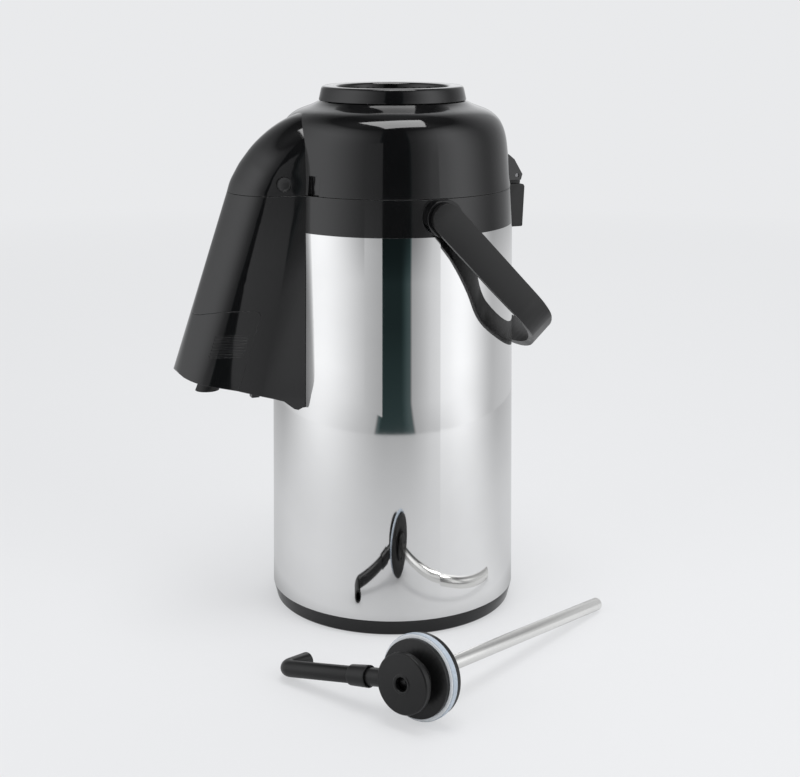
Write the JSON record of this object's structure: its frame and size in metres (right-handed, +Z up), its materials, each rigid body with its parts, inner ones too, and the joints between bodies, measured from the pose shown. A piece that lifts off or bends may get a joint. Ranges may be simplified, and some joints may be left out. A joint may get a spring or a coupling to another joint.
{
  "type": "insulated beverage dispenser",
  "caption": "Insulated pump dispenser: steel pot, hinged lid with press button and spout nose, carrying handle, and a removed pump stem with its spout arm lying in front.",
  "frame": {"origin": "centre of the base plug's rest face, on the surface the pot stands on", "axes": "+Z up along the pot, spout towards -Y, lid hinge towards +Y, handle pivots along X"},
  "size_m": [0.3345, 0.2954, 0.389],
  "materials": {
    "gloss_black": "glossy moulded black plastic",
    "satin_black": "satin black plastic with fine grain",
    "polished_steel": "mirror-polished stainless steel",
    "bottle_wall": "silvered double glass wall",
    "steel_tube": "satin stainless tube",
    "screw_steel": "zinc plated steel",
    "black_rubber": "soft black rubber",
    "grey_rubber": "soft grey rubber",
    "white_silicone": "translucent pale silicone",
    "inner_plastic": "plain pale food-grade plastic"
  },
  "bodies": {
    "pot": {"base_cup": "gloss_black", "foot_ring": "black_rubber", "support_plug": "satin_black", "bottle_cushion": "black_rubber", "outer_shell": "polished_steel", "vacuum_bottle": "bottle_wall", "neck_seal": "grey_rubber", "mouth_ring": "satin_black", "shoulder_collar": "gloss_black", "spout_housing": "gloss_black", "spout_duct": "satin_black", "housing_screws": "screw_steel", "hinge_bracket": "satin_black", "hinge_pin": "screw_steel", "hinge_screws": "screw_steel"},
    "cover": {"spout_cover": "gloss_black"},
    "handle": {"carry_handle": "satin_black", "handle_pins": "screw_steel"},
    "lid": {"lid_shell": "gloss_black", "lid_plate": "inner_plastic", "lid_screws": "screw_steel", "lid_seal": "grey_rubber", "bellows": "inner_plastic", "bellows_spring": "screw_steel", "air_flap": "grey_rubber"},
    "lock_ring_body": {"lock_ring": "gloss_black"},
    "button_body": {"push_button": "gloss_black"},
    "latch_right": {"latch_button_right": "gloss_black"},
    "latch_left": {"latch_button_left": "gloss_black"},
    "stem": {"stem_head": "satin_black", "stem_cap": "satin_black", "stem_gasket": "white_silicone", "stem_retainer": "satin_black", "stem_tube": "steel_tube", "valve_ball": "screw_steel", "arm_o_ring": "grey_rubber"},
    "arm": {"spout_arm": "satin_black", "arm_coupling": "satin_black"}
  },
  "joints": [
    {"name": "lid_hinge", "type": "hinge", "parent": "pot", "child": "lid", "pos_m": [0, 0.098, 0.32], "axis": [-1, 0, 0], "range_deg": [0, 100]},
    {"name": "handle_swing", "type": "hinge", "parent": "pot", "child": "handle", "pos_m": [0, 0, 0.3038], "axis": [1, 0, 0], "range_deg": [0, 175]},
    {"name": "cover_pull", "type": "slide", "parent": "pot", "child": "cover", "axis": [0, -0.7071, -0.7071], "range_m": [0, 0.04]},
    {"name": "pump_press", "type": "slide", "parent": "lid", "child": "button_body", "axis": [0, 0, -1], "range_m": [0, 0.018], "stiffness_N_per_m": 900, "springref_m": -0.002, "deforming": ["bellows", "bellows_spring"]},
    {"name": "lock_turn", "type": "hinge", "parent": "lid", "child": "lock_ring_body", "pos_m": [0, 0, 0.384], "axis": [0, 0, 1], "range_deg": [0, 60]},
    {"name": "latch_right_press", "type": "slide", "parent": "lid", "child": "latch_right", "axis": [-1, 0, 0], "range_m": [0, 0.0025], "stiffness_N_per_m": 1500, "springref_m": -0.001},
    {"name": "latch_left_press", "type": "slide", "parent": "lid", "child": "latch_left", "axis": [1, 0, 0], "range_m": [0, 0.0025], "stiffness_N_per_m": 1500, "springref_m": -0.001},
    {"name": "stem_lift", "type": "slide", "parent": "pot", "child": "stem", "axis": [0, 0, 1], "range_m": [0, 0.2]},
    {"name": "arm_swivel", "type": "hinge", "parent": "stem", "child": "arm", "pos_m": [0.21077, -0.07249, 0.0294], "axis": [-0.839, -0.5069, -0.198], "range_deg": [-90, 90]}
  ]
}
